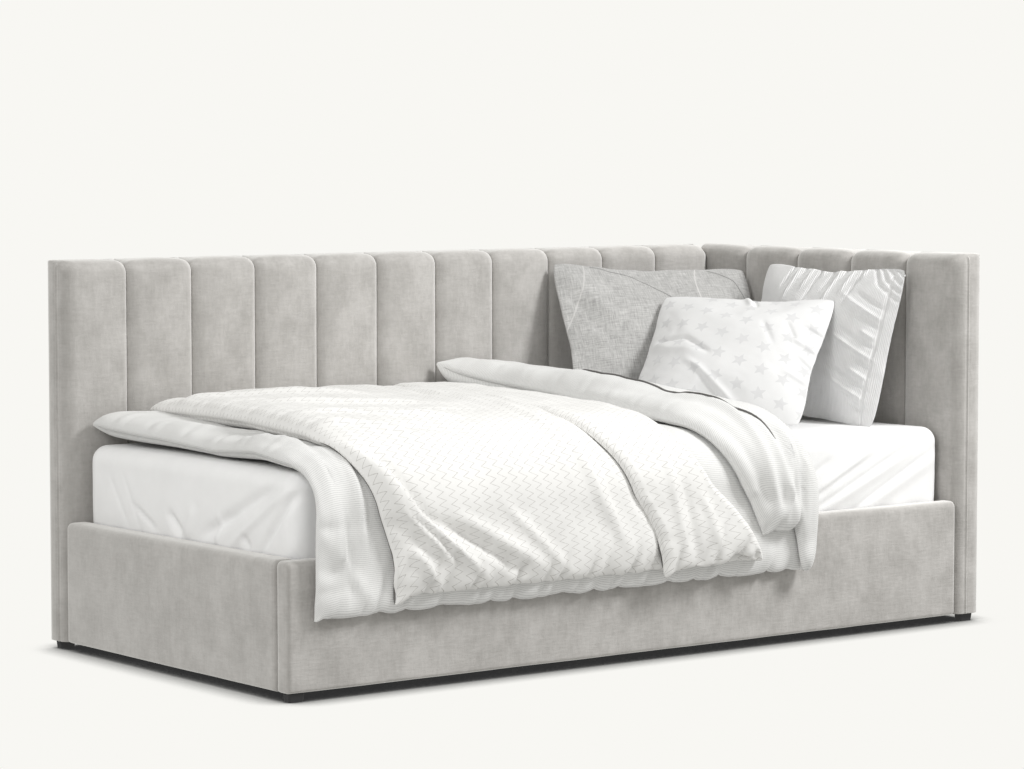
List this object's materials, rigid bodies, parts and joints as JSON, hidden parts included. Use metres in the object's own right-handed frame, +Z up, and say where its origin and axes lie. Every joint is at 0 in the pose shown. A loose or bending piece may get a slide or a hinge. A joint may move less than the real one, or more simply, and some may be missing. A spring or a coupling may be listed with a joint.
{
  "type": "daybed",
  "caption": "Upholstered storage daybed with a channelled back and head panel, low padded rails, a level-lifting slatted platform and made-up bedding.",
  "frame": {"origin": "on the floor, at the middle of the whole object's box, the quilt's overhang at the front included", "axes": "+X from the foot to the head panel, +Y from the open front to the long back panel, +Z up"},
  "size_m": [2.14, 1.112, 0.95],
  "materials": {
    "velvet": "short-pile velvet with a mottled nap",
    "lining_cloth": "plain woven back cloth",
    "frame_board": "raw particle board and softwood",
    "beech": "lacquered bent beech",
    "floor_panel": "pale laminated board",
    "black_steel": "black powder coat",
    "zinc_steel": "bright zinc plate",
    "rod_chrome": "ground and chromed",
    "foot_plastic": "moulded black plastic",
    "holder_plastic": "moulded dark plastic",
    "bumper_rubber": "soft black rubber",
    "mattress_cloth": "knitted mattress cover",
    "sheet_cotton": "smooth white cotton",
    "pinstripe_cotton": "off-white cotton with fine grey pinstripes",
    "zigzag_cotton": "white cotton with thin taupe zigzag lines",
    "grey_linen": "coarse mid-grey linen",
    "star_cotton": "white cotton with a pale grey star print",
    "ribbed_cotton": "pale grey fine-ribbed cotton"
  },
  "bodies": {
    "base": {"back_panel_padding": "velvet", "head_panel_padding": "velvet", "front_rail_cover": "velvet", "foot_rail_cover": "velvet", "back_panel_lining": "lining_cloth", "head_panel_lining": "lining_cloth", "back_panel_board": "frame_board", "back_panel_studs": "frame_board", "head_panel_board": "frame_board", "head_panel_studs": "frame_board", "front_rail_board": "frame_board", "foot_rail_board": "frame_board", "inner_back_rail": "frame_board", "inner_head_rail": "frame_board", "front_floor_batten": "frame_board", "back_floor_batten": "frame_board", "floor_cross_beam": "frame_board", "foot_ledge": "frame_board", "head_ledge": "frame_board", "storage_floor": "floor_panel", "pivot_plate_foot_front": "black_steel", "pivot_plate_foot_back": "black_steel", "pivot_plate_head_front": "black_steel", "pivot_plate_head_back": "black_steel", "corner_brackets": "zinc_steel", "corner_bolts": "zinc_steel", "plate_screws": "zinc_steel", "lower_pivot_pins": "zinc_steel", "lower_strut_studs": "zinc_steel", "foot_front_left": "foot_plastic", "foot_back_left": "foot_plastic", "foot_front_right": "foot_plastic", "foot_back_right": "foot_plastic", "centre_feet": "foot_plastic", "ledge_bumpers": "bumper_rubber"},
    "head_arms": {"head_arm_front": "black_steel", "head_arm_back": "black_steel", "upper_strut_studs": "zinc_steel"},
    "platform": {"platform_side_tube_front": "black_steel", "platform_side_tube_back": "black_steel", "platform_end_tube_foot": "black_steel", "platform_cross_tube": "black_steel", "platform_end_tube_head": "black_steel", "arm_brackets": "black_steel", "upper_pivot_pins": "zinc_steel", "slats": "beech", "slat_holders": "holder_plastic", "mattress": "mattress_cloth", "fitted_sheet": "sheet_cotton", "striped_duvet": "pinstripe_cotton", "zigzag_quilt": "zigzag_cotton", "linen_cushion": "grey_linen", "star_pillow": "star_cotton", "ribbed_cushion": "ribbed_cotton"},
    "foot_arms": {"foot_arm_front": "black_steel", "foot_arm_back": "black_steel"},
    "strut_cylinders": {"gas_cylinder_front": "black_steel", "gas_cylinder_back": "black_steel"},
    "strut_rods": {"gas_rod_front": "rod_chrome", "gas_rod_back": "rod_chrome"}
  },
  "joints": [
    {"name": "lift", "type": "hinge", "parent": "base", "child": "head_arms", "pos_m": [0.28, 0.006, 0.224], "axis": [0, -1, 0], "range_deg": [0, 55]},
    {"name": "platform_level", "type": "hinge", "parent": "head_arms", "child": "platform", "pos_m": [0.7, 0.006, 0.224], "axis": [0, -1, 0], "range_deg": [-55, 0]},
    {"name": "foot_arm_swing", "type": "hinge", "parent": "base", "child": "foot_arms", "pos_m": [-0.72, 0.006, 0.224], "axis": [0, -1, 0], "range_deg": [0, 55]},
    {"name": "strut_swing", "type": "hinge", "parent": "base", "child": "strut_cylinders", "pos_m": [0.33472, 0.006, 0.07365], "axis": [0, -1, 0], "range_deg": [0, 27.5]},
    {"name": "strut_extend", "type": "slide", "parent": "strut_cylinders", "child": "strut_rods", "axis": [0.5736, 0, 0.8192], "range_m": [0, 0.1003]}
  ],
  "couplings": [
    {"joint": "platform_level", "follows": "lift", "ratio": -1},
    {"joint": "foot_arm_swing", "follows": "lift", "ratio": 1},
    {"joint": "strut_swing", "follows": "lift", "ratio": 0.5},
    {"joint": "strut_extend", "follows": "lift", "m_per_rad": 0.10449}
  ]
}
